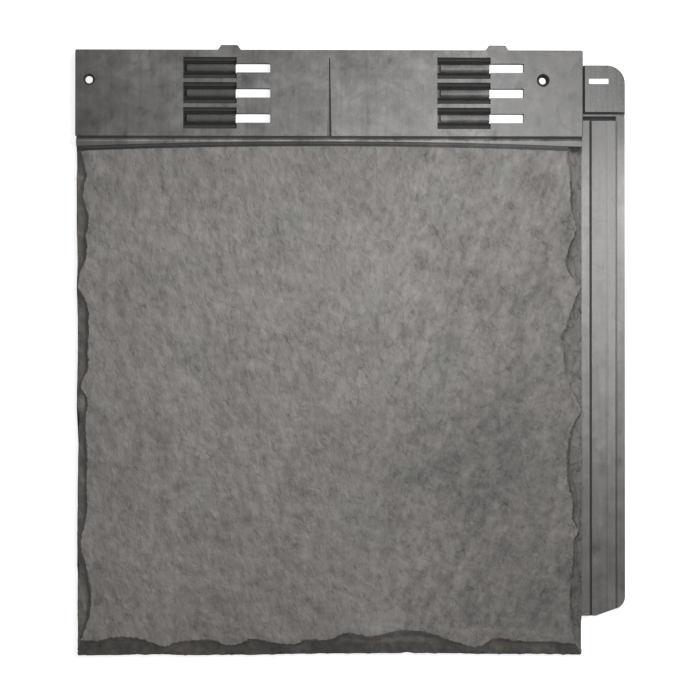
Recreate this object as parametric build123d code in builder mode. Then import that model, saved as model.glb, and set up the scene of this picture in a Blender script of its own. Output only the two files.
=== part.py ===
from build123d import *
import os
from math import atan2, degrees, sqrt

# One moulded slate-effect roof tile, lying face up on z = 0.
# X runs across the tile, Y up the roof slope and Z out of the slate face.
# The origin is the middle of the plan outline, on the plane that the tile lies on. Lengths are in mm.

# Plan of the body: the slate, the fixing strip at its head and two ears on the head edge
body_width = 404.0
body_length = 482.0
strip_length = 68.6
slate_side_inset = 0.8
foot_corner_radius = 2.4
head_corner_radius = 1.4
ear_width = 18.0
ear_reach = 3.8
ear_side_slope = 2.4
left_ear_inset = 122.5
right_ear_inset = 68.4

# Heights of the body and thickness of its moulded walls
slate_height = 13.0
strip_height = 10.5
skin_thickness = 3.0
wall_thickness = 3.0
top_edge_radius = 0.7

# Step up from the strip to the slate, the arched groove over the slate's head with its deeper slot, and the
# centre mark
strip_groove_width = 2.1
strip_groove_depth = 2.2
ramp_run = 2.0
head_groove_width = 3.9
head_groove_depth = 1.4
head_slot_width = 1.9
head_slot_depth = 3.0
head_groove_drop = 4.4
head_groove_crown = 4.0
centre_mark_width = 3.2
centre_mark_tip = 0.9
centre_mark_depth = 1.0
centre_mark_head_gap = 6.5

# Hook pockets: two columns of three in the strip, each with a tongue and a slot through to the underside
left_pocket_inset = 85.8
right_pocket_inset = 116.1
pocket_row_count = 3
pocket_row_pitch = 20.0
pocket_first_row = 14.4
pocket_length = 42.4
pocket_width = 17.0
pocket_shelf_depth = 1.9
pocket_depth = 6.2
pocket_well_width = 2.8
tongue_width = 5.8
tongue_shoulder_depth = 2.4
tongue_crown_depth = 1.2
tongue_end_gap = 2.4
tongue_end_radius = 0.7
slot_length = 27.4
slot_width = 7.4
slot_corner_radius = 0.8
slot_overlap = 0.8

# Screw holes through the strip
screw_hole_drop = 24.0
screw_hole_radius = 2.9
left_screw_inset = 11.0
left_sink_radius = 4.8
right_screw_inset = 31.8
right_sink_radius = 5.2
sink_angle = 70.0
screw_boss_radius = 8.0

# Side lock: the low channel on the right that the next tile covers
lock_width = 34.0
lock_foot_gap = 31.4
lock_ledge_width = 5.6
lock_ledge_height = 4.5
lock_gutter_width = 2.1
lock_gutter_floor = 1.4
lock_floor_width = 12.0
lock_floor_height = 2.6
lock_rise_width = 6.6
lock_rise_height = 3.3
lock_seam_width = 1.5
lock_lip_height = 4.5
lock_foot_flat = 10.8
lock_foot_rise = 8.2
lock_foot_radius = 10.2

# Fixing tab at the head of the side lock, above a gutter with a pointed outer end
tab_drop = 11.4
tab_length = 37.3
tab_height = 6.0
tab_skin = 2.6
tab_corner_radius = 14.3
tab_gutter_width = 6.8
tab_gutter_floor = 1.5
tab_shelf_width = 3.3
tab_shelf_height = 3.6
gutter_point_reach = 7.0
gutter_point_rise = 2.2
tab_groove_width = 2.0
tab_groove_floor = 3.0
tab_slot_inset = 13.3
tab_slot_length = 16.2
tab_slot_width = 4.6
tab_slot_corner_radius = 1.0

# Underside of the left edge, which covers the next tile's side lock, with a drip bead over its trough
lap_clearance = 0.3
lap_end_clearance = 1.0
lap_rim_width = 13.0
drip_bead_inset = 9.4
drip_bead_width = 2.4
drip_bead_drop = 1.3

# Hollows and ribs of the underside
rim_width_at_floor = 8.0
rim_width_at_skin = 22.0
slate_head_wall = 14.0
strip_foot_wall = 6.0
rib_thickness = 2.2
rib_pitch = 40.5
cut_overrun = 2.0

# Bevels dressed on three edges of the slate: each drops steeply from the face, then less so to a short wall
steep_drop = 3.6
steep_share = 0.3
left_bevel_drop = 6.2
right_bevel_drop = 8.0
foot_bevel_drop = 8.4

# Width of each bevel along its edge, which gives the face its ragged outline, as pairs of a share of the
# edge's length and a width. A side edge runs from the foot to the head groove, the foot edge from the left.
left_edge = (
    (-0.010, 2.8),
    (0.037, 4.5),
    (0.050, 6.8),
    (0.074, 10.3),
    (0.109, 12.2),
    (0.133, 12.4),
    (0.160, 10.0),
    (0.196, 6.2),
    (0.225, 3.8),
    (0.247, 6.2),
    (0.278, 8.6),
    (0.337, 8.6),
    (0.404, 9.2),
    (0.479, 8.3),
    (0.494, 9.4),
    (0.510, 8.3),
    (0.526, 4.1),
    (0.549, 7.2),
    (0.600, 9.7),
    (0.679, 9.7),
    (0.697, 7.8),
    (0.714, 3.2),
    (0.742, 1.7),
    (0.765, 5.4),
    (0.797, 8.6),
    (0.820, 7.6),
    (0.852, 10.3),
    (0.883, 7.6),
    (0.911, 5.6),
    (0.940, 8.0),
    (0.977, 5.1),
    (1.000, 3.7),
)
right_edge = (
    (-0.010, 3.6),
    (0.023, 5.2),
    (0.054, 8.1),
    (0.102, 10.0),
    (0.149, 9.2),
    (0.204, 6.7),
    (0.227, 5.9),
    (0.247, 3.2),
    (0.270, 8.0),
    (0.300, 7.6),
    (0.329, 10.5),
    (0.424, 10.8),
    (0.455, 7.2),
    (0.479, 1.3),
    (0.506, 4.8),
    (0.530, 10.0),
    (0.553, 13.8),
    (0.592, 15.1),
    (0.616, 18.5),
    (0.640, 15.0),
    (0.671, 9.9),
    (0.702, 4.8),
    (0.724, 1.2),
    (0.742, 6.8),
    (0.761, 12.4),
    (0.805, 10.0),
    (0.846, 4.6),
    (0.871, 8.0),
    (0.903, 9.4),
    (0.942, 9.7),
    (0.977, 11.6),
    (1.000, 12.4),
)
foot_edge = (
    (-0.010, 11.2),
    (0.017, 13.4),
    (0.040, 12.4),
    (0.060, 14.0),
    (0.123, 14.6),
    (0.149, 11.3),
    (0.175, 7.8),
    (0.200, 11.3),
    (0.238, 13.4),
    (0.274, 12.4),
    (0.317, 9.2),
    (0.337, 13.4),
    (0.376, 12.2),
    (0.432, 10.2),
    (0.455, 13.0),
    (0.503, 13.5),
    (0.534, 18.8),
    (0.566, 16.4),
    (0.629, 19.6),
    (0.689, 19.4),
    (0.720, 15.6),
    (0.764, 9.2),
    (0.799, 8.1),
    (0.819, 13.0),
    (0.859, 13.2),
    (0.898, 11.3),
    (0.934, 11.9),
    (0.969, 10.3),
    (1.010, 7.6),
)

# Shell-shaped chips struck off the bevels: share along the edge, length and bite at the height of the face
chip_depth = 8.6
left_chip_depth = 6.8
left_chips = (
    (0.126, 62.0, 7.0),
    (0.330, 38.0, 4.6),
    (0.497, 20.0, 5.0),
    (0.640, 48.0, 5.6),
    (0.855, 36.0, 5.4),
)
right_chips = (
    (0.106, 42.0, 5.6),
    (0.300, 22.0, 4.8),
    (0.380, 46.0, 6.4),
    (0.602, 40.0, 9.0),
    (0.775, 26.0, 6.4),
    (0.940, 34.0, 5.6),
)
foot_chips = (
    (0.091, 44.0, 8.6),
    (0.226, 34.0, 6.6),
    (0.360, 26.0, 6.8),
    (0.451, 24.0, 6.4),
    (0.560, 30.0, 10.0),
    (0.655, 52.0, 11.0),
    (0.743, 22.0, 6.0),
    (0.884, 46.0, 6.6),
)

# Places across the tile
body_left = -(body_width + lock_width) / 2
body_right = body_left + body_width
body_middle = (body_left + body_right) / 2
lock_right = body_right + lock_width
slate_left = body_left + slate_side_inset
slate_right = body_right - slate_side_inset
slate_width = slate_right - slate_left
lap_inner = body_left + lock_width + lap_clearance
hollow_left = lap_inner + wall_thickness
lap_rib = (body_left + lap_rim_width + lap_inner) / 2
hollow_right = slate_right - rim_width_at_floor
pocket_lefts = (body_left + left_pocket_inset, body_right - right_pocket_inset)
pocket_column_length = pocket_length - slot_overlap + slot_length

# Places across the side lock's section
gutter_start = body_right + lock_ledge_width
trough_start = gutter_start + lock_gutter_width
rise_start = trough_start + lock_floor_width
seam_start = rise_start + lock_rise_width
lip_start = seam_start + lock_seam_width

# Places along the tile
foot = -(body_length + ear_reach) / 2
head = foot + body_length
strip_foot = head - strip_length
slate_head = strip_foot - strip_groove_width - ramp_run
head_groove_top = strip_foot - head_groove_drop
head_groove_end = head_groove_top - head_groove_crown
dressed_length = head_groove_end - foot
screw_row = head - screw_hole_drop
pocket_rows = [head - pocket_first_row - row * pocket_row_pitch for row in range(pocket_row_count)]
lock_foot = foot + lock_foot_gap
tab_head = head - tab_drop
tab_foot = tab_head - tab_length
channel_head = tab_foot - tab_gutter_width
slate_hollow_foot = foot + rim_width_at_floor
slate_hollow_head = strip_foot - slate_head_wall
strip_hollow_foot = strip_foot - strip_foot_wall
strip_hollow_head = head - wall_thickness

# Heights that follow from the walls
slate_ceiling = slate_height - skin_thickness
strip_ceiling = strip_height - skin_thickness
lap_ceiling = max(lock_ledge_height, lock_lip_height) + lap_clearance
tab_lap_ceiling = tab_height + lap_clearance


def struck_bevel(corner, along, inward, length, edge, drop):
    """The waste struck off one edge of the slate to leave its bevel, starting at a corner."""
    with BuildPart() as waste:
        for fall, width_share in ((0, 1), (steep_drop, 1 - steep_share), (drop, 0)):
            with BuildSketch(Plane.XY.offset(slate_height - fall)):
                with BuildLine():
                    inner = Spline([
                        corner + along * (place * length) + inward * (width * width_share)
                        for place, width in edge
                    ])
                    Polyline(
                        inner @ 1,
                        corner + along * (edge[-1][0] * length) - inward * cut_overrun,
                        corner + along * (edge[0][0] * length) - inward * cut_overrun,
                        inner @ 0,
                    )
                make_face()
        loft(ruled=True)
    return waste.part


def chip(edge_point, outward, length, bite, depth):
    """The ball that strikes one shell-shaped chip off a bevel, down to a depth below the face at the edge."""
    mark_radius = (length**2 / 4 + bite**2) / (2 * bite)
    rise = (2 * mark_radius * bite - bite**2 - depth**2) / (2 * depth)
    centre = edge_point + outward * (mark_radius - bite) + Vector(0, 0, slate_height + rise)
    seam_turn = degrees(atan2(outward.Y, outward.X))
    return Location(centre, (0, 0, seam_turn)) * Sphere(sqrt(mark_radius**2 + rise**2))


def rib_lines(start, end):
    """Centre lines of the ribs that part start to end into equal cells, about one rib pitch each."""
    cell_count = max(1, round((end - start) / rib_pitch))
    pitch = (end - start + rib_thickness) / cell_count
    return [start - rib_thickness / 2 + pitch * index for index in range(1, cell_count)]


# Slate with its step up from the strip, dressed on three edges
left_corner = Vector(slate_left, foot)
right_corner = Vector(slate_right, foot)
struck_waste = [
    struck_bevel(left_corner, Vector(0, 1), Vector(1, 0), dressed_length, left_edge, left_bevel_drop),
    struck_bevel(right_corner, Vector(0, 1), Vector(-1, 0), dressed_length, right_edge, right_bevel_drop),
    struck_bevel(left_corner, Vector(1, 0), Vector(0, 1), slate_width, foot_edge, foot_bevel_drop),
]
for corner, along, outward, edge_length, chips, depth in (
    (left_corner, Vector(0, 1), Vector(-1, 0), dressed_length, left_chips, left_chip_depth),
    (right_corner, Vector(0, 1), Vector(1, 0), dressed_length, right_chips, chip_depth),
    (left_corner, Vector(1, 0), Vector(0, -1), slate_width, foot_chips, chip_depth),
):
    for share, length, bite in chips:
        struck_waste.append(chip(corner + along * (share * edge_length), outward, length, bite, depth))
with BuildPart() as slate:
    with BuildSketch(Plane.YZ.offset(slate_left)):
        with BuildLine():
            Polyline(
                (foot, 0),
                (strip_foot, 0),
                (strip_foot, strip_height - strip_groove_depth),
                (strip_foot - strip_groove_width, strip_height - strip_groove_depth),
                (strip_foot - strip_groove_width, strip_height),
                (slate_head, slate_height),
                (foot, slate_height),
                close=True,
            )
        make_face()
    extrude(amount=slate_width)
    add(struck_waste, mode=Mode.SUBTRACT)

    # Foot corners, rounded in plan
    with BuildSketch() as slate_plan:
        with Locations((slate_left, foot)):
            Rectangle(slate_width, strip_foot - foot, align=Align.MIN)
        fillet(slate_plan.vertices().group_by(Axis.Y)[0], foot_corner_radius)
    extrude(amount=slate_height, mode=Mode.INTERSECT)

    # Groove over the slate's head, a shallow arch from side to side, and the slot along its foot edge
    for drop, depth in (
        (0, head_groove_depth),
        (head_groove_width - head_slot_width, head_slot_depth),
    ):
        with BuildSketch(Plane.XY.offset(slate_height)):
            with BuildLine():
                upper_edge = ThreePointArc(
                    (slate_left, head_groove_end - drop),
                    (body_middle, head_groove_top - drop),
                    (slate_right, head_groove_end - drop),
                )
                lower_edge = ThreePointArc(
                    (slate_left, head_groove_end - head_groove_width),
                    (body_middle, head_groove_top - head_groove_width),
                    (slate_right, head_groove_end - head_groove_width),
                )
                Line(upper_edge @ 0, lower_edge @ 0)
                Line(upper_edge @ 1, lower_edge @ 1)
            make_face()
        extrude(amount=-depth, mode=Mode.SUBTRACT)

# Tongue of a hook pocket, crowned across its width and rounded off at its end
with BuildPart() as tongue:
    with BuildSketch(Plane.YZ.offset(tongue_end_gap)):
        with BuildLine():
            crown = ThreePointArc(
                (-tongue_width / 2, strip_height - tongue_shoulder_depth),
                (0, strip_height - tongue_crown_depth),
                (tongue_width / 2, strip_height - tongue_shoulder_depth),
            )
            Polyline(
                crown @ 1,
                (tongue_width / 2, strip_height - pocket_depth),
                (-tongue_width / 2, strip_height - pocket_depth),
                crown @ 0,
            )
        make_face()
    extrude(amount=pocket_length - tongue_end_gap)
    fillet(tongue.faces().sort_by(Axis.X)[0].edges().filter_by(GeomType.CIRCLE), tongue_end_radius)

# Space of a hook pocket: a shelf, a well on each side of the tongue and the slot beyond its end
with BuildPart() as hook_pocket:
    with BuildSketch(Plane.XY.offset(strip_height)):
        Rectangle(pocket_length, pocket_width, align=(Align.MIN, Align.CENTER))
    extrude(amount=-pocket_shelf_depth)
    with BuildSketch(Plane.XY.offset(strip_height)):
        Rectangle(pocket_length, tongue_width + 2 * pocket_well_width, align=(Align.MIN, Align.CENTER))
    extrude(amount=-pocket_depth)
    add(tongue.part, mode=Mode.SUBTRACT)
    with BuildSketch(Plane.XY.offset(strip_height)):
        with Locations((pocket_length - slot_overlap, 0)):
            RectangleRounded(slot_length, slot_width, slot_corner_radius, align=(Align.MIN, Align.CENTER))
    extrude(amount=-strip_height)

# Fixing strip with its ears, centre mark, hook pockets and screw holes
with BuildPart() as fixing_strip:
    with BuildSketch() as strip_plan:
        with Locations((body_left, strip_foot)):
            Rectangle(body_width, strip_length, align=Align.MIN)
        with Locations((body_left + left_ear_inset, head), (body_right - right_ear_inset, head)):
            Trapezoid(
                ear_width,
                ear_reach,
                degrees(atan2(ear_reach, ear_side_slope)),
                align=(Align.CENTER, Align.MIN),
            )
        fillet(strip_plan.vertices() - strip_plan.vertices().group_by(Axis.Y)[0], head_corner_radius)
    extrude(amount=strip_height)
    strip_rim = fixing_strip.faces().sort_by(Axis.Z)[-1].edges().sort_by(Axis.Y)[1:]
    fillet(strip_rim, top_edge_radius)

    with BuildSketch(Plane.XY.offset(strip_height)):
        with BuildLine():
            Polyline(
                (body_middle - centre_mark_width / 2, strip_foot),
                (body_middle + centre_mark_width / 2, strip_foot),
                (body_middle + centre_mark_tip / 2, head - centre_mark_head_gap),
                (body_middle - centre_mark_tip / 2, head - centre_mark_head_gap),
                close=True,
            )
        make_face()
    extrude(amount=-centre_mark_depth, mode=Mode.SUBTRACT)

    with Locations([(left, row) for left in pocket_lefts for row in pocket_rows]):
        add(hook_pocket.part, mode=Mode.SUBTRACT)
    with Locations((body_left + left_screw_inset, screw_row, strip_height)):
        CounterSinkHole(screw_hole_radius, left_sink_radius, strip_height, sink_angle)
    with Locations((body_right - right_screw_inset, screw_row, strip_height)):
        CounterSinkHole(screw_hole_radius, right_sink_radius, strip_height, sink_angle)

# Side lock: a channel with a slanted foot, and the fixing tab at its head
with BuildPart() as side_lock:
    with BuildSketch() as lock_plan:
        with BuildLine():
            Polyline(
                (slate_right, lock_foot),
                (body_right + lock_foot_flat, lock_foot),
                (lock_right, lock_foot + lock_foot_rise),
                (lock_right, tab_head),
                (slate_right, tab_head),
                close=True,
            )
        make_face()
        fillet(lock_plan.vertices().group_by(Axis.X)[-1].sort_by(Axis.Y)[0], lock_foot_radius)
        fillet(lock_plan.vertices().group_by(Axis.X)[-1].sort_by(Axis.Y)[-1], tab_corner_radius)
    extrude(amount=tab_height)

    # Space over the channel, from its ledge across the gutter, the trough and the seam to its lip
    with BuildSketch(Plane.XZ.offset(-lock_foot)):
        with BuildLine():
            Polyline(
                (slate_right, tab_height),
                (slate_right, lock_ledge_height),
                (gutter_start, lock_ledge_height),
                (gutter_start, lock_gutter_floor),
                (trough_start, lock_gutter_floor),
                (trough_start, lock_floor_height),
                (rise_start, lock_floor_height),
                (seam_start, lock_rise_height),
                (seam_start, lock_floor_height),
                (lip_start, lock_floor_height),
                (lip_start, lock_lip_height),
                (lock_right, lock_lip_height),
                (lock_right, tab_height),
                close=True,
            )
        make_face()
    extrude(amount=-(channel_head - lock_foot + gutter_point_rise), mode=Mode.SUBTRACT)

    # Gutter across the foot of the tab, and the shelf beside it
    with BuildSketch(Plane.XY.offset(tab_height)):
        with BuildLine():
            Polyline(
                (slate_right, channel_head),
                (lock_right - gutter_point_reach, channel_head),
                (lock_right, channel_head + gutter_point_rise),
                (lock_right, tab_foot - gutter_point_rise),
                (lock_right - gutter_point_reach, tab_foot),
                (slate_right, tab_foot),
                close=True,
            )
        make_face()
    extrude(amount=-(tab_height - tab_shelf_height), mode=Mode.SUBTRACT)
    with BuildSketch(Plane.XY.offset(tab_shelf_height)):
        with Locations((slate_right, channel_head)):
            Rectangle(
                lock_right - gutter_point_reach - slate_right,
                tab_gutter_width - tab_shelf_width,
                align=Align.MIN,
            )
    extrude(amount=-(tab_shelf_height - tab_gutter_floor), mode=Mode.SUBTRACT)

    # Groove between the strip and the tab
    with BuildSketch(Plane.XY.offset(tab_height)):
        with Locations((body_right, tab_foot)):
            Rectangle(tab_groove_width, tab_head - tab_foot, align=Align.MIN)
    extrude(amount=-(tab_height - tab_groove_floor), mode=Mode.SUBTRACT)
    tab_rim = side_lock.faces().sort_by(Axis.Z)[-1].edges().filter_by(
        lambda edge: edge.center().X > body_right + tab_groove_width
        and edge.center().Y > tab_foot + gutter_point_rise
    )
    fillet(tab_rim, top_edge_radius)

    # Slot for the screw that also passes the next tile's left hole
    with BuildSketch(Plane.XY.offset(tab_height)):
        with Locations((body_right + tab_slot_inset, screw_row)):
            RectangleRounded(tab_slot_length, tab_slot_width, tab_slot_corner_radius)
    extrude(amount=-tab_height, mode=Mode.SUBTRACT)

    # Hollow under the tab, round the wall of its slot
    with BuildSketch() as tab_hollow:
        with Locations((body_right + tab_groove_width + wall_thickness, tab_foot + wall_thickness)):
            Rectangle(
                lock_width - tab_groove_width - 2 * wall_thickness,
                tab_head - tab_foot - 2 * wall_thickness,
                align=Align.MIN,
            )
        rounded_corner = tab_hollow.vertices().group_by(Axis.X)[-1].sort_by(Axis.Y)[-1]
        fillet(rounded_corner, tab_corner_radius - wall_thickness)
        with Locations((body_right + tab_slot_inset, screw_row)):
            Rectangle(
                tab_slot_length + 2 * wall_thickness, tab_slot_width + 2 * wall_thickness, mode=Mode.SUBTRACT
            )
    extrude(amount=tab_height - tab_skin, mode=Mode.SUBTRACT)

# Space under the slate between crossed ribs, narrower at the skin so that walls stay thick behind the bevels
with BuildPart() as slate_hollows:
    with BuildSketch():
        with Locations((hollow_left, slate_hollow_foot)):
            Rectangle(hollow_right - hollow_left, slate_hollow_head - slate_hollow_foot, align=Align.MIN)
    with BuildSketch(Plane.XY.offset(slate_ceiling)):
        with Locations((hollow_left, foot + rim_width_at_skin)):
            Rectangle(
                slate_right - rim_width_at_skin - hollow_left,
                slate_hollow_head - foot - rim_width_at_skin,
                align=Align.MIN,
            )
    loft()
    with BuildSketch():
        with Locations((body_left + lap_rim_width, lock_foot)):
            Rectangle(lap_inner - body_left - lap_rim_width, slate_hollow_head - lock_foot, align=Align.MIN)
    extrude(amount=slate_ceiling)
    with BuildSketch():
        long_ribs = [lap_rib] + rib_lines(hollow_left, hollow_right)
        with Locations([(line, slate_hollow_foot) for line in long_ribs]):
            Rectangle(rib_thickness, slate_hollow_head - slate_hollow_foot, align=(Align.CENTER, Align.MIN))
        with Locations([(body_left, line) for line in rib_lines(slate_hollow_foot, slate_hollow_head)]):
            Rectangle(hollow_right - body_left, rib_thickness, align=(Align.MIN, Align.CENTER))
    extrude(amount=slate_ceiling, mode=Mode.SUBTRACT)

# Space under the strip, on both sides of each column of pockets, round the right screw's boss
with BuildPart() as strip_hollows:
    hollow_starts = [hollow_left] + [left + pocket_column_length + wall_thickness for left in pocket_lefts]
    hollow_ends = [left - wall_thickness for left in pocket_lefts] + [body_right - wall_thickness]
    with BuildSketch():
        for start, end in zip(hollow_starts, hollow_ends):
            with Locations((start, strip_hollow_foot)):
                Rectangle(end - start, strip_hollow_head - strip_hollow_foot, align=Align.MIN)
            with Locations([(line, strip_hollow_foot) for line in rib_lines(start, end)]):
                Rectangle(
                    rib_thickness,
                    strip_hollow_head - strip_hollow_foot,
                    align=(Align.CENTER, Align.MIN),
                    mode=Mode.SUBTRACT,
                )
        with Locations([(body_left, line) for line in rib_lines(strip_hollow_foot, strip_hollow_head)]):
            Rectangle(body_width, rib_thickness, align=(Align.MIN, Align.CENTER), mode=Mode.SUBTRACT)
        with Locations((body_right - right_screw_inset, screw_row)):
            Circle(screw_boss_radius, mode=Mode.SUBTRACT)
    extrude(amount=strip_ceiling)

# Space under the left edge for the next tile's side lock and tab, open to the left, round the drip bead
with BuildPart() as side_lap:
    with BuildSketch():
        with Locations((body_left - cut_overrun, lock_foot - lap_end_clearance)):
            Rectangle(
                lap_inner - body_left + cut_overrun,
                tab_head - lock_foot + 2 * lap_end_clearance,
                align=Align.MIN,
            )
    extrude(amount=lap_ceiling)
    with BuildSketch(Plane.XY.offset(lap_ceiling)):
        with Locations((body_left + drip_bead_inset, lock_foot - lap_end_clearance)):
            Rectangle(drip_bead_width, channel_head - lock_foot, align=Align.MIN)
    extrude(amount=-drip_bead_drop, mode=Mode.SUBTRACT)
    with BuildSketch():
        with Locations((body_left - cut_overrun, channel_head)):
            Rectangle(
                lap_inner - body_left + cut_overrun,
                tab_head - channel_head + lap_end_clearance,
                align=Align.MIN,
            )
    extrude(amount=tab_lap_ceiling)

# The whole tile, one moulding
with BuildPart() as roof_tile:
    add(slate.part)
    add(fixing_strip.part)
    add(side_lock.part)
    add(slate_hollows.part, mode=Mode.SUBTRACT)
    add(strip_hollows.part, mode=Mode.SUBTRACT)
    add(side_lap.part, mode=Mode.SUBTRACT)
roof_tile.part.label = "roof_tile"

os.makedirs("parts", exist_ok=True)
export_step(roof_tile.part, "parts/roof_tile.step")
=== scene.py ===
import math

import bmesh
import bpy
import numpy as np
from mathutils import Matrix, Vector, geometry, kdtree


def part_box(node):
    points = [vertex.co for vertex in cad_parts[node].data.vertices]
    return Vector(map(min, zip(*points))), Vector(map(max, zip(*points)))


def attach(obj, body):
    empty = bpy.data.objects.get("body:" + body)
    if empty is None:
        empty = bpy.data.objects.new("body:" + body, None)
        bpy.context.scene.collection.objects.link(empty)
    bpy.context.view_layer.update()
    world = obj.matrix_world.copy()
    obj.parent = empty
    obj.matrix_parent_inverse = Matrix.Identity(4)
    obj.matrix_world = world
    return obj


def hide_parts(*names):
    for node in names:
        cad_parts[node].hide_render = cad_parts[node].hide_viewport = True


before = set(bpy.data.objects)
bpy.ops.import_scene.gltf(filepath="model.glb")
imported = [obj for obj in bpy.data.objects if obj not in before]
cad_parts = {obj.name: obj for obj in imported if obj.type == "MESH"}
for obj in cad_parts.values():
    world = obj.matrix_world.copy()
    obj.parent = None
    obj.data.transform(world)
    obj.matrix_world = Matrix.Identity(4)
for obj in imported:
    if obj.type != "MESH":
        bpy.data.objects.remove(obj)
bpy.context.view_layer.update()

# One moulded slate-effect roof tile, lying face up. Lengths are in millimetres, and times mm they are metres.
mm = 0.001
tile_low, tile_high = (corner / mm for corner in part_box("roof_tile"))

# Plan of the slate, and the heights of its face, of the fixing strip and of the side lock's ledge
slate_inset = 0.8
lock_width = 34.0
slate_left = tile_low.x + slate_inset
slate_right = tile_high.x - lock_width - slate_inset
slate_middle = (slate_left + slate_right) / 2
slate_foot = tile_low.y
slate_top = tile_high.z
strip_height = 10.5
ledge_height = 4.5

# Fixing strip: its foot, the groove and the ramp below it, and the ridge inside its centre mark
strip_foot = tile_high.y - 72.4
strip_groove_foot = strip_foot - 2.1
ramp_foot = strip_groove_foot - 2.0
mark_place = slate_middle - 0.7

# Hook pockets in the strip: the middle row and the left column, their pitches and half the size of a tongue
pocket_row = tile_high.y - 38.2
pocket_row_pitch = 20.0
pocket_column = slate_left + 106.2
pocket_column_pitch = 202.1
tongue_half_width = 2.9
tongue_half_length = 21.0

# Side lock, counted from the body's right edge: its ledge, rise, seam and lip, its gutters and the fixing tab
body_right = tile_high.x - lock_width
ledge_end = body_right + 5.6
rise_start = body_right + 19.7
seam_middle = body_right + 27.0
lip_start = body_right + 27.8
gutter_height = 1.5
tab_foot = tile_high.y - 52.5
tab_groove_end = body_right + 2.0
tab_groove_height = 3.0

# Arched groove over the slate's head: its foot-side edge in the middle and at the ends
groove_edge_middle = 162.2
groove_edge_ends = 158.2

# Riven face: pitch of its surface points, how far its layers lie under the moulded plane, and the strip along
# the rim that has no points of its own, as a share of the pitch. The fill keeps what lies inside the rim.
relief_pitch = 1.65
relief_mean = 0.9
relief_least = 0.03
rim_gap = 0.7
inside_rim = 1
fill_slack = 1e-7

# Split layers of the face: size of the plateaus, levels that they span, height of a step, and bends in them
cleft_size = 92.0
cleft_levels = 3.2
cleft_height = 0.36
cleft_bend = 16.0
cleft_bend_size = 38.0

# Dressed edges: how far in from the outline the chips reach, how fine their surface is, and the size, reach
# and depth of the small flakes on them
dressed_reach = 22.0
dressed_edge_length = 2.45
dressed_rounds = 6
steep_drop = 3.6
flake_size = 8.5
flake_jitter = 0.45 * flake_size
flake_reach = 0.75 * flake_size
flake_depth = 0.9
flake_seed = 5
rim_jitter = 0.6

# What tells the facets of the dressed edges from the rest: the upward share of a facet's normal under which
# it is a wall and over which it is level, how far in from the outline a wall and a steep facet may lie, the
# strip beside the side lock, and the slack in places and heights
wall_slope = 0.02
level_slope = 0.999
wall_inset = 0.8
steep_inset = 7.0
lock_strip = 1.0
outline_slack = 0.5
height_slack = 0.05
plane_slack = 0.01
weld_distance = 0.001

# Angle in degrees above which an edge stays crisp, and how much flat faces count in the normals beside them
crisp_angle = 28.0
flat_face_weight = 100

# Outline of the slate, nicked back from the moulded one: how far in the nicks are felt, how rough they are,
# and places along the left and the foot edge with the inset
nick_reach = 6.0
nick_roughness = 0.25
nick_size = 7.0
left_nicks = (
    (167.0, 0.0),
    (148.0, 0.8),
    (138.0, 0.2),
    (100.0, 0.2),
    (88.0, 0.6),
    (67.0, 1.0),
    (48.0, 0.3),
    (34.0, 1.2),
    (-5.0, 1.2),
    (-39.0, 0.4),
    (-46.0, 0.5),
    (-51.0, 1.8),
    (-81.0, 1.7),
    (-110.0, 1.2),
    (-167.0, 0.9),
    (-176.0, 1.4),
    (-234.0, 1.2),
)
foot_nicks = (
    (-215.0, 0.0),
    (-181.0, 0.4),
    (-155.0, 1.0),
    (-126.0, 0.0),
    (-92.0, 0.6),
    (-81.0, 0.2),
    (-48.0, 1.1),
    (-14.0, 1.4),
    (40.0, 1.5),
    (46.0, 2.5),
    (52.0, 1.5),
    (79.0, 1.4),
    (97.0, 0.9),
    (164.0, 0.5),
    (184.0, 0.1),
)

# Split lines of the riven face that show on their own: height of the step, reach of its fading side to the
# right of the line's run, and places along the line
split_lines = (
    (0.35, 9.0, ((165.0, -221.8), (128.0, -222.4), (96.0, -221.2), (68.0, -222.6))),
    (0.28, 7.0, ((150.0, -212.0), (118.0, -213.6), (84.0, -211.4))),
    (0.30, 8.0, ((66.0, -168.4), (100.0, -170.6), (142.0, -168.0))),
    (0.45, 6.0, ((-187.0, 142.0), (-181.0, 148.4), (-173.0, 150.6), (-167.0, 146.0))),
    (0.40, 7.0, ((-186.0, 98.0), (-182.5, 89.0), (-176.0, 84.2), (-157.0, 84.8))),
    (0.35, 8.0, ((-188.0, -153.6), (-172.0, -157.0), (-158.0, -156.0), (-145.0, -163.6))),
    (0.30, 6.0, ((-177.5, -170.4), (-172.5, -178.0))),
    (0.40, 7.0, ((167.5, 122.0), (175.5, 110.0), (176.0, 97.0), (169.0, 86.0))),
    (0.30, 6.0, ((172.5, 62.0), (180.0, 49.0))),
    (0.30, 9.0, ((-96.0, 30.0), (-74.0, 22.0), (-60.0, 4.0))),
    (0.30, 9.0, ((22.0, -30.0), (38.0, -52.0), (66.0, -66.0))),
)

# Colours of the finishes
slate_grey = (0.170, 0.159, 0.149, 1)
slate_green = (0.152, 0.158, 0.146, 1)
edge_grey = (0.150, 0.141, 0.132, 1)
lock_edge_grey = (0.142, 0.136, 0.127, 1)
# Grey of the dressed edge along the foot, darkened by painted shade
shaded_foot_edge_grey = (0.100, 0.091, 0.082, 1)
moulded_grey = (0.100, 0.096, 0.092, 1)

# Broad changes of tone over the face: centre, reach across and along, change
face_tones = (
    ((105.0, -95.0), (180.0, 130.0), -0.40),
    ((172.0, -206.0), (150.0, 120.0), -0.40),
    ((150.0, 20.0), (140.0, 230.0), -0.28),
    ((0.0, 165.0), (300.0, 70.0), -0.16),
    ((-20.0, -230.0), (240.0, 120.0), -0.14),
    ((-190.0, 140.0), (120.0, 90.0), -0.10),
    ((-211.0, 153.0), (10.0, 9.0), -0.30),
)

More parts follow.
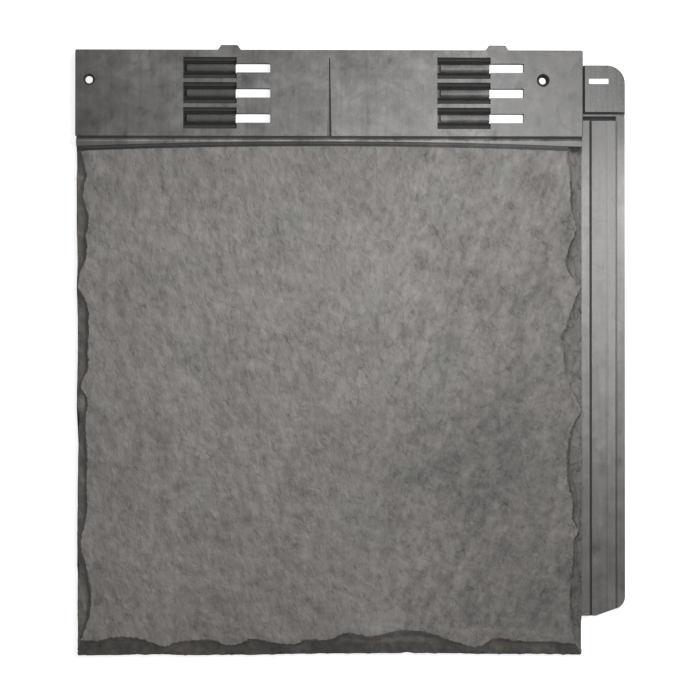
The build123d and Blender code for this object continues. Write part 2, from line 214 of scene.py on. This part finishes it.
# Greener patches of the face: centre, reach across and along
green_places = (
    ((-140.0, 143.0), (11.0, 11.0)),
    ((115.0, 142.0), (26.0, 10.0)),
    ((170.0, 10.0), (9.0, 15.0)),
    ((-205.0, 138.0), (9.0, 14.0)),
)

# Painted light on some facets and painted shade on some flakes of the dressed edges: centre, reach across and
# along, change
edge_light_and_shade = (
    ((-209.0, 90.0), (3.0, 7.0), 0.9),
    ((-213.0, 125.0), (7.0, 28.0), 0.35),
    ((-212.0, -38.0), (5.0, 13.0), 0.8),
    ((-212.0, -105.0), (4.0, 9.0), 0.4),
    ((-206.0, -226.6), (9.0, 4.0), 0.4),
    ((-196.0, -236.0), (30.0, 12.0), -0.3),
    ((-135.0, -236.0), (22.0, 12.0), 0.25),
    ((-72.0, -236.0), (34.0, 12.0), -0.3),
    ((-8.0, -236.0), (34.0, 14.0), -0.5),
    ((56.0, -236.0), (34.0, 12.0), -0.3),
    ((119.0, -236.0), (26.0, 12.0), 0.2),
    ((155.0, -236.0), (26.0, 12.0), 0.4),
    ((174.0, 71.0), (10.0, 24.0), -0.3),
    ((172.0, -119.0), (14.0, 70.0), -0.3),
    ((178.0, 160.5), (10.0, 4.0), 0.6),
)

# Studio, in metres: a far lamp beyond the tile's head, a panel whose mirror image lies on the upper right of
# the tile, and a camera that stands over the tile with the slight tilt of the photo, its turn in degrees
camera_distance = 2.5
camera_lens = 161.1
camera_sensor = 36.0
camera_target = (-0.0004, 0.00038, 0)
camera_turn = (0.664, -1.188, 0.015)
key_place = (0.7, 1.15, 1.0)
key_size = (0.5, 0.5)
key_power = 18.0
panel_place = (0.155, 0.125, 0.6)
panel_size = (0.32, 0.36)
panel_power = 2.7
white = (1, 1, 1, 1)
ambient_level = 0.13
floor_reach = 3.0
floor_grey = (0.5, 0.5, 0.5, 1)
floor_glow = 0.86

# Finishes of the tile, in the order of its material slots
moulded, riven, chipped = range(3)

# The Mix node's colour sockets, which share their names with its number sockets
first_colour = 6
second_colour = 7
mixed_colour = 2


def smooth_step(value, low, high):
    """0 below low, 1 above high and a soft bend between them."""
    share = np.clip((value - low) / (high - low), 0, 1)
    return share * share * (3 - 2 * share)


def wander(x, y, seed):
    """Smooth random field, from about -1 to 1, with one lump to a unit square."""
    side = 64
    turns = np.random.default_rng(seed).uniform(0, 2 * np.pi, (side, side))
    column = np.floor(x).astype(int)
    row = np.floor(y).astype(int)
    across = x - column
    along = y - row
    share_across = across**3 * (across * (6 * across - 15) + 10)
    share_along = along**3 * (along * (6 * along - 15) + 10)
    total = 0
    for right in (0, 1):
        for up in (0, 1):
            turn = turns[(column + right) % side, (row + up) % side]
            slope = np.cos(turn) * (across - right) + np.sin(turn) * (along - up)
            weight_across = share_across if right else 1 - share_across
            weight_along = share_along if up else 1 - share_along
            total = total + weight_across * weight_along * slope
    return 1.5 * total


def layered(x, y, size, seed, layers=3):
    """Smooth random field in lumps of a size, with finer and weaker lumps on them."""
    total = 0
    for layer in range(layers):
        reach = size / 2**layer
        total = total + wander(x / reach + 7.3 * layer, y / reach - 4.1 * layer, seed + layer) / 2**layer
    return total


def groove_edge(x):
    """Foot-side edge of the arched groove, at a place across the tile."""
    rise = groove_edge_middle - groove_edge_ends
    half_span = (slate_right - slate_left) / 2
    radius = (half_span**2 + rise**2) / (2 * rise)
    off_middle = np.clip(x - slate_middle, -half_span, half_span)
    return groove_edge_middle - radius + np.sqrt(radius**2 - off_middle**2)


def cleft_steps(x, y):
    """Split layers of the slate: plateaus whose edges are crisp in some stretches and fade out in others."""
    bend_x = x + cleft_bend * layered(x, y, cleft_bend_size, seed=11)
    bend_y = y + cleft_bend * layered(x, y, cleft_bend_size, seed=21)
    level = cleft_levels * layered(bend_x, bend_y, cleft_size, seed=31, layers=4)
    plateau = np.floor(level)
    softness = 0.08 + 0.9 * smooth_step(layered(x, y, 55, seed=41), -0.35, 0.45)
    edge = smooth_step(level - plateau, 0.5 - softness / 2, 0.5 + softness / 2)
    return cleft_height * (plateau + edge - level) + 0.05 * level


def split_line_steps(x, y):
    """Depth under the single split lines: a sudden drop on the right of each line that fades away from it."""
    depth = np.zeros_like(x)
    wave_x = x + 1.6 * layered(x, y, 9, seed=81)
    wave_y = y + 1.6 * layered(x, y, 9, seed=91)
    for height, reach, places in split_lines:
        distance = np.full_like(x, np.inf)
        side = np.zeros_like(x)
        ending = np.zeros_like(x)
        for index, ((start_x, start_y), (end_x, end_y)) in enumerate(zip(places, places[1:])):
            run_x = end_x - start_x
            run_y = end_y - start_y
            span = math.hypot(run_x, run_y)
            share = ((wave_x - start_x) * run_x + (wave_y - start_y) * run_y) / span**2
            held = np.clip(share, 0, 1)
            away = np.hypot(wave_x - start_x - held * run_x, wave_y - start_y - held * run_y)
            nearer = away < distance
            cross = (wave_x - start_x) * run_y - (wave_y - start_y) * run_x
            whole = (index + held) / (len(places) - 1)
            distance = np.where(nearer, away, distance)
            side = np.where(nearer, cross, side)
            ending = np.where(nearer, smooth_step(whole, 0, 0.25) * (1 - smooth_step(whole, 0.75, 1)), ending)
        depth += np.where(side > 0, height * ending * np.exp(-2.5 * distance / reach), 0)
    return depth


def riven_relief(x, y):
    """How far the riven face lies below the moulded plane."""
    lumps = 0.16 * layered(x, y, 64, seed=51) + 0.24 * layered(x, y, 9, seed=61)
    streaks = 0.1 * layered(x, y / 2.6, 4.4, seed=71, layers=2)
    depth = relief_mean + cleft_steps(x, y) + split_line_steps(x, y) + lumps + streaks
    return np.maximum(depth, relief_least)


def is_dressed(face):
    """Whether a face is part of the slate's chipped bevels or of the short wall under them."""
    place = face.calc_center_median() / mm
    inset = min(place.x - slate_left, slate_right - place.x, place.y - slate_foot)
    if inset > dressed_reach or inset < -outline_slack or place.y > groove_edge(place.x):
        return False
    if face.normal.z > wall_slope:
        by_lock = slate_right - place.x < lock_strip
        above_ledge = place.z > ledge_height + height_slack
        return place.z < slate_top - plane_slack and (above_ledge or not by_lock)
    on_wall = inset < wall_inset or (inset < steep_inset and place.z > ledge_height + 2 * height_slack)
    return abs(face.normal.z) <= wall_slope and on_wall


def is_slate_top(face):
    """Whether a face lies on the flat moulded plane of the slate, foot-side of its groove."""
    place = face.calc_center_median() / mm
    in_plane = face.normal.z > level_slope and place.z > slate_top - plane_slack
    return in_plane and place.y < groove_edge(place.x)


def refined(mesh):
    """Halves the long edges of the chipped bevels, round after round, and swaps the edges between slivers."""
    for _ in range(dressed_rounds):
        mesh.normal_update()
        long_edges = {
            edge
            for face in mesh.faces
            if is_dressed(face) or is_slate_top(face)
            for edge in face.edges
            if edge.calc_length() > dressed_edge_length * mm
            and not all(is_slate_top(side) for side in edge.link_faces)
        }
        bmesh.ops.subdivide_edges(mesh, edges=list(long_edges), cuts=1)
        bmesh.ops.triangulate(mesh, faces=[face for face in mesh.faces if len(face.verts) > 3])
    mesh.normal_update()
    dressed_faces = {face for face in mesh.faces if is_dressed(face)}
    inner_edges = [edge for edge in mesh.edges if all(side in dressed_faces for side in edge.link_faces)]
    bmesh.ops.beautify_fill(mesh, faces=list(dressed_faces), edges=inner_edges, method="ANGLE")
    mesh.normal_update()


def nick_inset(place, nicks, seed):
    """How far the outline is drawn back at a place along an edge."""
    places, insets = zip(*sorted(nicks))
    return max(np.interp(place, places, insets) + nick_roughness * layered(place, 0.5, nick_size, seed), 0)


def nicked(mesh):
    """Draws the outline of the slate back to its nicks, over the whole height of its walls, and what lies
    within nick_reach of it along with it, less so the further in it is."""
    for vert in mesh.verts:
        place = vert.co / mm
        if place.y > left_nicks[0][0]:
            continue
        if place.x < slate_left + nick_reach:
            share = 1 - max(place.x - slate_left, 0) / nick_reach
            vert.co.x += nick_inset(place.y, left_nicks, seed=101) * share * mm
        if place.y < slate_foot + nick_reach:
            share = 1 - max(place.y - slate_foot, 0) / nick_reach
            vert.co.y += nick_inset(place.x, foot_nicks, seed=111) * share * mm


def flaked(mesh, dressed_faces, top_faces):
    """Sinks the chipped bevels into small shell-shaped flakes that meet in ridges."""
    random = np.random.default_rng(flake_seed)
    centres = [
        (x + random.uniform(-flake_jitter, flake_jitter), y + random.uniform(-flake_jitter, flake_jitter))
        for x in np.arange(slate_left, slate_right + flake_size, flake_size)
        for y in np.arange(slate_foot, groove_edge_middle + flake_size, flake_size)
    ]
    flakes = kdtree.KDTree(len(centres))
    for index, (x, y) in enumerate(centres):
        flakes.insert((x, y, 0), index)
    flakes.balance()
    mesh.normal_update()
    shifts = {}
    for vert in mesh.verts:
        sides = vert.link_faces
        if not any(face in dressed_faces for face in sides):
            continue
        if not all(face in dressed_faces or face in top_faces for face in sides):
            continue
        place = vert.co / mm
        distance = flakes.find((place.x, place.y, 0))[2]
        inward = -vert.normal
        inward.z = min(inward.z, 0)
        shift = inward * flake_depth * max(0, 1 - (distance / flake_reach) ** 2)
        if place.z > slate_top - plane_slack:
            shift.x += random.uniform(-rim_jitter, rim_jitter)
            shift.y += random.uniform(-rim_jitter, rim_jitter)
        shifts[vert] = shift * mm
    for vert, shift in shifts.items():
        vert.co += shift
        vert.co.z = max(vert.co.z, tile_low.z * mm)
    mesh.normal_update()


def rim_of(faces):
    """The vertices round a set of faces, in the order of a walk with the faces on its left."""
    inside = set(faces)
    following = {}
    for face in faces:
        for loop in face.loops:
            if not any(other in inside for other in loop.edge.link_faces if other is not face):
                following[loop.vert] = loop.link_loop_next.vert
    # A set has no order of its own, so the walk starts at the leftmost vertex in each run
    start = min(following, key=lambda vert: vert.co[:])
    rim = [start]
    while following[rim[-1]] is not start:
        rim.append(following[rim[-1]])
    assert len(rim) == len(following), "the slate's top has more than one rim"
    return rim


def rivened(mesh, top_faces):
    """Fills the slate's top, between its chipped edges, with even points and sinks them to the relief."""
    rim = rim_of(top_faces)
    bmesh.ops.delete(mesh, geom=top_faces, context="FACES")

    near_rim = kdtree.KDTree(len(rim))
    for index, vert in enumerate(rim):
        near_rim.insert((vert.co.x, vert.co.y, 0), index)
    near_rim.balance()
    points = [Vector((vert.co.x, vert.co.y)) for vert in rim]
    for column, x in enumerate(np.arange(slate_left, slate_right, relief_pitch)):
        shift = relief_pitch / 2 * (column % 2)
        for y in np.arange(slate_foot + shift, groove_edge_middle, relief_pitch):
            if near_rim.find((x * mm, y * mm, 0))[2] > relief_pitch * mm * rim_gap:
                points.append(Vector((x * mm, y * mm)))
    filled = geometry.delaunay_2d_cdt(points, [], [list(range(len(rim)))], inside_rim, fill_slack)
    places, _, triangles, origins, _, _ = filled
    verts = []
    for place, origin in zip(places, origins):
        on_rim = [index for index in origin if index < len(rim)]
        verts.append(rim[on_rim[0]] if on_rim else mesh.verts.new((place.x, place.y, slate_top * mm)))
    for triangle in triangles:
        mesh.faces.new([verts[index] for index in triangle]).material_index = riven
    across = np.array([vert.co.x for vert in verts]) / mm
    along = np.array([vert.co.y for vert in verts]) / mm
    for vert, depth in zip(verts, riven_relief(across, along)):
        vert.co.z = min(vert.co.z, (slate_top - depth) * mm)


def tile_surface(node):
    """The moulded tile with its joined facets, a finer surface on the chipped edges and the riven face."""
    mesh = bmesh.new()
    mesh.from_mesh(node.data)
    bmesh.ops.remove_doubles(mesh, verts=mesh.verts, dist=weld_distance * mm)
    refined(mesh)
    dressed_faces = {face for face in mesh.faces if is_dressed(face)}
    top_faces = {face for face in mesh.faces if is_slate_top(face)}
    for face in mesh.faces:
        face.material_index = chipped if face in dressed_faces else moulded
    nicked(mesh)
    flaked(mesh, dressed_faces, top_faces)
    rivened(mesh, list(top_faces))
    data = bpy.data.meshes.new("slate_effect_tile")
    mesh.to_mesh(data)
    mesh.free()
    # The loaded mesh brings the normals of its old corners, which no longer fit
    data.attributes.remove(data.attributes["custom_normal"])
    return data


class Value:
    """A socket of a shader, so that sums on it read as arithmetic and each adds its Math node."""

    def __init__(self, shader, socket):
        self.shader = shader
        self.socket = socket

    def __add__(self, other):
        return self.shader.maths("ADD", self, other)

    def __radd__(self, other):
        return self.shader.maths("ADD", other, self)

    def __sub__(self, other):
        return self.shader.maths("SUBTRACT", self, other)

    def __rsub__(self, other):
        return self.shader.maths("SUBTRACT", other, self)

    def __mul__(self, other):
        return self.shader.maths("MULTIPLY", self, other)

    def __rmul__(self, other):
        return self.shader.maths("MULTIPLY", other, self)


class Shader:
    """One material or the world, built up node by node."""

    def __init__(self, owner):
        owner.use_nodes = True
        self.tree = owner.node_tree
        self.tree.nodes.clear()

    def node(self, kind, settings=None, inputs=None, output=0):
        """A node with its settings and the values or links of its sockets. Its chosen output comes back."""
        made = self.tree.nodes.new(kind)
        for name, setting in (settings or {}).items():
            setattr(made, name, setting)
        for socket, value in (inputs or {}).items():
            if isinstance(value, Value):
                self.tree.links.new(value.socket, made.inputs[socket])
            else:
                made.inputs[socket].default_value = value
        return Value(self, made.outputs[output]) if len(made.outputs) else None

    def maths(self, operation, first, second=0.0):
        """A sum on two values."""
        return self.node("ShaderNodeMath", {"operation": operation}, {0: first, 1: second})

    def clamped(self, value):
        """A value held between 0 and 1."""
        return self.node("ShaderNodeClamp", None, {"Value": value})

    def ramp(self, value, low, high, start=0.0, end=1.0):
        """A soft bend from start to end while value goes from low to high."""
        return self.node(
            "ShaderNodeMapRange",
            {"interpolation_type": "SMOOTHSTEP"},
            {"Value": value, "From Min": low, "From Max": high, "To Min": start, "To Max": end},
        )

    def band(self, value, rise, fall):
        """1 between a rise and a fall, each the pair of values over which it bends from 0 or back to 0."""
        return self.ramp(value, *rise) * self.ramp(value, *fall, 1, 0)

    def stripe(self, value, middle, inner, outer, strength=1.0):
        """A strength where a value is within an inner distance of its middle, fading to 0 at an outer one."""
        return self.ramp(self.maths("ABSOLUTE", value - middle), inner, outer, strength, 0)

    def blend(self, share, first, second):
        """One value passing into another."""
        return (1 - share) * first + share * second

    def place(self):
        """Place on the tile, in metres."""
        return self.node("ShaderNodeTexCoord", output="Object")

    def axis(self, place, name):
        """One coordinate of a place, in millimetres."""
        return self.node("ShaderNodeSeparateXYZ", None, {"Vector": place}, output=name) * (1 / mm)

    def stretched(self, place, scale, turn=0.0):
        """A place with its axes turned and scaled, for grain that runs one way."""
        return self.node(
            "ShaderNodeMapping",
            {"vector_type": "TEXTURE"},
            {"Vector": place, "Rotation": (0, 0, math.radians(turn)), "Scale": scale},
        )

    def noise(self, place, size, detail=3.0, roughness=0.5):
        """Random lumps of a size in millimetres, around 0.5."""
        return self.node(
            "ShaderNodeTexNoise",
            None,
            {"Vector": place, "Scale": 1 / (size * mm), "Detail": detail, "Roughness": roughness},
        )

    def patch(self, place, centre, reach):
        """1 at a centre on the tile, fading to 0 at a reach across and along it, in millimetres."""
        away = self.node(
            "ShaderNodeMapping",
            {"vector_type": "TEXTURE"},
            {
                "Vector": place,
                "Location": (centre[0] * mm, centre[1] * mm, slate_top * mm),
                "Scale": (reach[0] * mm, reach[1] * mm, 1),
            },
        )
        distance = self.node("ShaderNodeVectorMath", {"operation": "LENGTH"}, {0: away}, output="Value")
        return self.ramp(distance, 0, 1, 1, 0)

    def toned(self, tone, place, changes):
        """A tone raised or lowered in patches of the tile."""
        for centre, reach, change in changes:
            tone = tone * (1 + change * self.patch(place, centre, reach))
        return tone

    def mix(self, share, first, second):
        """One colour passing into another."""
        return self.node(
            "ShaderNodeMix",
            {"data_type": "RGBA"},
            {"Factor": share, first_colour: first, second_colour: second},
            output=mixed_colour,
        )

    def tinted(self, colour, amount):
        """A colour made lighter or darker by an amount that varies over the surface."""
        grey = self.node("ShaderNodeCombineColor", None, {0: amount, 1: amount, 2: amount})
        return self.node(
            "ShaderNodeMix",
            {"data_type": "RGBA", "blend_type": "MULTIPLY"},
            {"Factor": 1.0, first_colour: colour, second_colour: grey},
            output=mixed_colour,
        )

    def bump(self, height):
        """A normal pushed about by a height in millimetres."""
        return self.node("ShaderNodeBump", None, {"Height": height, "Distance": mm, "Strength": 1.0})


def plastic(name, paint):
    """A material whose paint gives its colour, roughness, height in millimetres and specular level."""
    material = bpy.data.materials.new(name)
    shader = Shader(material)
    colour, roughness, height, specular = paint(shader, shader.place())
    surface = shader.node(
        "ShaderNodeBsdfPrincipled",
        None,
        {
            "Base Color": colour,
            "Roughness": roughness,
            "Normal": shader.bump(height),
            "Specular IOR Level": specular,
        },
    )
    shader.node("ShaderNodeOutputMaterial", None, {"Surface": surface})
    return material


def riven_slate(shader, place):
    """Riven face: warm grey plates split in thin layers, with crevices that carry painted shade, a fine grain
    and faint green patches.
    Its texture leans one way on the left and the other way on the right, where it is also stronger."""
    left_lean = shader.stretched(place, (1.0, 1.7, 1.0), 14)
    right_lean = shader.stretched(place, (1.0, 2.0, 1.0), -20)
    rightward = shader.ramp(shader.axis(place, "X"), -70, 70)
    grain = shader.noise(left_lean, 2.6, roughness=0.6)
    strokes = shader.blend(rightward, shader.noise(left_lean, 5.2), shader.noise(right_lean, 5.0))
    layers = shader.ramp(shader.noise(left_lean, 15, detail=6.0, roughness=0.62), 0.48, 0.52)
    flake_field = shader.noise(shader.stretched(place, (1.0, 1.5, 1.0), -8), 8, detail=5.0)
    flakes = shader.ramp(flake_field, 0.47, 0.53)
    crevices = shader.stripe(shader.noise(left_lean, 10, detail=2.5, roughness=0.6), 0.5, 0, 0.045)
    crevices = crevices * shader.ramp(shader.noise(place, 13), 0.44, 0.6)
    left_patches = shader.noise(left_lean, 9, detail=5.0, roughness=0.65)
    right_patches = shader.noise(right_lean, 8, detail=5.0, roughness=0.65)
    patches = shader.blend(rightward, left_patches, right_patches)
    clouds = shader.noise(place, 60)

    green = shader.ramp(shader.noise(shader.stretched(place, (1.3, 1.0, 1.0)), 38, detail=4.0), 0.58, 0.8)
    for centre, reach in green_places:
        green = green + shader.patch(place, centre, reach) * shader.ramp(patches, 0.35, 0.6)
    base = shader.mix(green, slate_grey, slate_green)
    pattern = 0.22 * grain + 0.7 * strokes + 0.84 * patches + 0.05 * layers
    # Painted shade darkens the crevices
    pattern = pattern - 0.14 * crevices + 0.4 * (clouds - 0.5)
    contrast = 1.2 + 0.5 * rightward
    tone = shader.toned(0.955 + contrast * (pattern - 0.875), place, face_tones)
    height = 0.22 * grain + 0.16 * strokes + 0.13 * layers + 0.1 * flakes - 0.12 * crevices
    return shader.tinted(base, tone), 0.6 - 0.1 * grain, height, 0.4


def chipped_edge(shader, place):
    """Dressed edge: a darker grey than the face, partly painted shade, with more painted shade on the steep
    drop and along the foot.
    """
    across = shader.axis(place, "X")
    along = shader.axis(place, "Y")
    level = shader.axis(place, "Z")
    steep = shader.ramp(level, slate_top - 1.1 * steep_drop, slate_top - 0.7 * steep_drop)
    by_foot = shader.ramp(along, slate_foot + 9, slate_foot + 13, 1, 0)
    by_lock = shader.ramp(across, slate_right - 24, slate_right - 20) * (1 - by_foot)
    grain = shader.noise(place, 2.4, detail=4.0, roughness=0.6)
    flakes = shader.noise(shader.stretched(place, (1.0, 1.5, 1.0)), 9, detail=5.0, roughness=0.6)
    crevice_field = shader.noise(shader.stretched(place, (1.0, 2.4, 1.0), 12), 8, detail=2.5)
    crevices = shader.stripe(crevice_field, 0.5, 0, 0.06) * (0.3 + 0.7 * by_lock) * (1 - by_foot)

    plain = shader.mix(by_lock, edge_grey, lock_edge_grey)
    base = shader.mix(by_foot, plain, shaded_foot_edge_grey)
    # Painted shade in the crevices and on the steep drop under the rim, less of it beside the lock
    tone = 0.82 + 0.32 * grain - 0.3 * crevices - 0.42 * steep * (1 - 0.4 * by_lock)
    tone = tone + (1.2 + 1.2 * by_foot) * (flakes - 0.5)
    tone = tone * (1 - by_lock * shader.ramp(along, -60, -170, 0, 0.32))
    # Painted light and painted shade in patches of the dressed edges
    tone = shader.toned(tone, place, edge_light_and_shade)
    return shader.tinted(base, tone), 0.62 - 0.1 * grain, 0.4 * grain + 0.5 * flakes - 0.3 * crevices, 0.3


def strip_recesses(shader, across, along, level):
    """Shade in the pockets, the mark and the groove of the strip, but less on the tongues and the ridge."""
    row_gap = shader.maths("PINGPONG", along - pocket_row, pocket_row_pitch / 2)
    column_gap = shader.maths("PINGPONG", across - pocket_column, pocket_column_pitch / 2)
    on_tongue = shader.ramp(row_gap, tongue_half_width, tongue_half_width + 0.4, 1, 0)
    on_tongue = on_tongue * shader.ramp(column_gap, tongue_half_length, tongue_half_length + 1, 1, 0)
    tongue_shade = shader.ramp(across, -60, 130, 0.62, 0.1)
    well_shade = shader.ramp(along, strip_foot, strip_foot + 0.5, 0.66, 0.84)
    on_ridge = shader.stripe(across, mark_place, 0.2, 0.6, 0.75)
    on_ridge = on_ridge * shader.ramp(along, strip_foot, strip_foot + 0.5)
    below_strip = shader.ramp(level, strip_height - 1.0, strip_height - 0.15, 1, 0)
    return below_strip * shader.blend(on_tongue, well_shade, tongue_shade) * (1 - on_ridge)


def lock_recesses(shader, across, along, level):
    """Painted shade in the gutters of the side lock and in the groove beside the fixing tab, and the painted
    shadow of the tab on the shelf at its foot.
    """
    gutter_foot = (gutter_height - 0.9, gutter_height - 0.5)
    gutter_rim = (gutter_height + 0.1, gutter_height + 0.9)
    in_gutter = shader.band(level, gutter_foot, gutter_rim)
    beside_tab = shader.ramp(across, tab_groove_end, tab_groove_end + 0.5, 1, 0)
    beside_tab = beside_tab * shader.ramp(along, tab_foot - 0.4, tab_foot)
    beside_tab = beside_tab * shader.ramp(level, tab_groove_height + 0.2, tab_groove_height + 2, 1, 0)
    # Painted shadow that the fixing tab casts on the shelf at its foot
    under_tab = shader.band(along, (tab_foot - 2.0, tab_foot - 1.6), (tab_foot - 0.2, tab_foot + 0.2))
    return 0.8 * shader.clamped(in_gutter + beside_tab + under_tab)


def moulded_plastic(shader, place):
    """Smooth moulded plastic of the strip, the side lock and the underside, with clouds and wavy flow lines.
    Its recesses carry painted shade and are duller, the step up to the slate, the ledge and the lip carry
    painted light and sheen, and a painted fall of light runs over the tile."""
    across = shader.axis(place, "X")
    along = shader.axis(place, "Y")
    level = shader.axis(place, "Z")
    on_body = shader.ramp(across, slate_right, slate_right + 1, 1, 0)
    on_lock = 1 - on_body
    on_strip = on_body * shader.ramp(along, strip_groove_foot - 0.2, strip_groove_foot)
    on_slate_head = on_body * shader.ramp(along, groove_edge_ends - 0.4, groove_edge_ends) * (1 - on_strip)

    # Shaded recesses
    groove_shade = shader.ramp(across, -60, 160, 0.68, 0.45)
    in_groove = on_slate_head * shader.ramp(level, slate_top - 1.3, slate_top - 0.4, 1, 0)
    sunk = on_strip * strip_recesses(shader, across, along, level) + groove_shade * in_groove
    sunk = sunk + on_lock * lock_recesses(shader, across, along, level)
    # Painted shade along the crease where the lock's rise starts and along the seam in the middle of its lip
    rise_crease_shade = shader.stripe(across, rise_start, 0.3, 1.3, 0.3)
    lip_seam_shade = shader.stripe(across, seam_middle, 0.3, 1.2, 0.5)
    seam_shade = (rise_crease_shade + lip_seam_shade) * on_lock * shader.ramp(along, tab_foot - 10, tab_foot - 8, 1, 0)

    # Lit ramp, ledge and lip, and the fall of the light over the tile
    on_ramp = on_slate_head * shader.ramp(along, ramp_foot - 0.5, ramp_foot)
    lit_lock = on_lock * shader.band(along, (10, 130), (150, 180))
    on_ledge = lit_lock * shader.ramp(across, ledge_end - 0.5, ledge_end, 1, 0)
    on_lip = lit_lock * shader.ramp(across, lip_start, lip_start + 0.5)
    left_light = shader.ramp(across, -216, -150, 0.62, 1)
    right_light = 1 - on_body * shader.ramp(across, 70, 180, 0, 0.45)
    lock_shade = shader.ramp(along, 120, 180, 0, 0.56) + shader.ramp(along, -160, -60, 0.25, 0)

    grain = shader.noise(place, 1.4)
    flow = shader.noise(shader.stretched(place, (1.0, 22.0, 1.0)), 3.0)
    clouds = shader.noise(place, 17, detail=5.0, roughness=0.6)
    veins = shader.stripe(shader.noise(place, 24), 0.5, 0, 0.06) * shader.ramp(clouds, 0.44, 0.6)
    stains = shader.ramp(shader.noise(shader.stretched(place, (1.0, 2.0, 1.0)), 9), 0.56, 0.7)
    mottling = 2.3 * (clouds - 0.5) + 0.3 * (grain - 0.5) - 0.3 * veins - 0.3 * stains
    mottling = mottling * shader.ramp(across, -100, 120, 1.0, 1.6) * (1 - 0.6 * on_lock)
    # Painted fall of light over the tile, painted light and sheen on the ramp, ledge, lip and lock, and
    # painted shade in the recesses and seams
    tone = (1.0 + 0.6 * (flow - 0.5) + mottling) * left_light * right_light * (1 - on_lock * lock_shade)
    tone = tone * (1 + 1.4 * on_ramp + 0.5 * on_ledge + on_lip + 0.2 * on_lock) * (1 - sunk) * (1 - seam_shade)
    roughness = 0.24 + 0.14 * clouds + 0.6 * sunk
    return shader.tinted(moulded_grey, tone), roughness, 0.06 * grain + 0.08 * flow, 0.5


def whole_tile():
    """The tile's visible piece, with its finishes and its crisp edges."""
    data = tile_surface(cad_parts["roof_tile"])
    data.materials.append(plastic("moulded_plastic", moulded_plastic))
    data.materials.append(plastic("riven_slate", riven_slate))
    data.materials.append(plastic("chipped_edge", chipped_edge))
    data.shade_smooth()
    data.set_sharp_from_angle(angle=math.radians(crisp_angle))
    piece = bpy.data.objects.new("slate_effect_tile", data)
    bpy.context.scene.collection.objects.link(piece)
    flat_faces = piece.modifiers.new("flat_faces_stay_flat", "WEIGHTED_NORMAL")
    flat_faces.keep_sharp = True
    flat_faces.weight = flat_face_weight
    return piece


def seen_directly(shader):
    """1 for what is seen straight on, in a gloss or through a clear body, and 0 for light that fills in."""
    straight = shader.node("ShaderNodeLightPath", output="Is Camera Ray")
    glossy = shader.node("ShaderNodeLightPath", output="Is Glossy Ray")
    through = shader.node("ShaderNodeLightPath", output="Is Transmission Ray")
    return shader.clamped(straight + glossy + through)


def white_floor():
    """Floor that looks white and throws some light back on the tile."""
    material = bpy.data.materials.new("white_floor")
    shader = Shader(material)
    lit = shader.node("ShaderNodeBsdfDiffuse", None, {"Color": floor_grey})
    glow_strength = floor_glow * seen_directly(shader)
    glow = shader.node("ShaderNodeEmission", None, {"Color": white, "Strength": glow_strength})
    both = shader.node("ShaderNodeAddShader", None, {0: lit, 1: glow})
    shader.node("ShaderNodeOutputMaterial", None, {"Surface": both})

    data = bpy.data.meshes.new("floor")
    corners = [(x * floor_reach, y * floor_reach, 0) for x, y in ((-1, -1), (1, -1), (1, 1), (-1, 1))]
    data.from_pydata(corners, [], [(0, 1, 2, 3)])
    data.materials.append(material)
    floor = bpy.data.objects.new("floor", data)
    bpy.context.scene.collection.objects.link(floor)


def background():
    """White background whose light on the tile is weaker than it looks."""
    world = bpy.data.worlds.new("studio")
    bpy.context.scene.world = world
    shader = Shader(world)
    level = ambient_level + (1 - ambient_level) * seen_directly(shader)
    sky = shader.node("ShaderNodeBackground", None, {"Color": white, "Strength": level})
    shader.node("ShaderNodeOutputWorld", None, {"Surface": sky})


def lamp(name, place, size, power):
    """A rectangular lamp that faces the middle of the tile."""
    data = bpy.data.lights.new(name, "AREA")
    data.shape = "RECTANGLE"
    data.size, data.size_y = size
    data.energy = power
    body = bpy.data.objects.new(name, data)
    body.location = place
    body.rotation_euler = Vector(place).to_track_quat("Z", "Y").to_euler()
    body.visible_camera = False
    bpy.context.scene.collection.objects.link(body)


def studio_camera():
    """Camera over the tile, looking down at its middle."""
    data = bpy.data.cameras.new("camera")
    data.lens = camera_lens
    data.sensor_width = camera_sensor
    camera = bpy.data.objects.new("camera", data)
    camera.rotation_euler = [math.radians(turn) for turn in camera_turn]
    camera.location = Vector(camera_target) + camera.rotation_euler.to_matrix().col[2] * camera_distance
    bpy.context.scene.collection.objects.link(camera)
    bpy.context.scene.camera = camera
    bpy.context.scene.view_settings.view_transform = "Standard"


white_floor()
background()
lamp("key_lamp", key_place, key_size, key_power)
lamp("gloss_panel", panel_place, panel_size, panel_power)
studio_camera()

tile = whole_tile()
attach(tile, "root")
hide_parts("roof_tile")
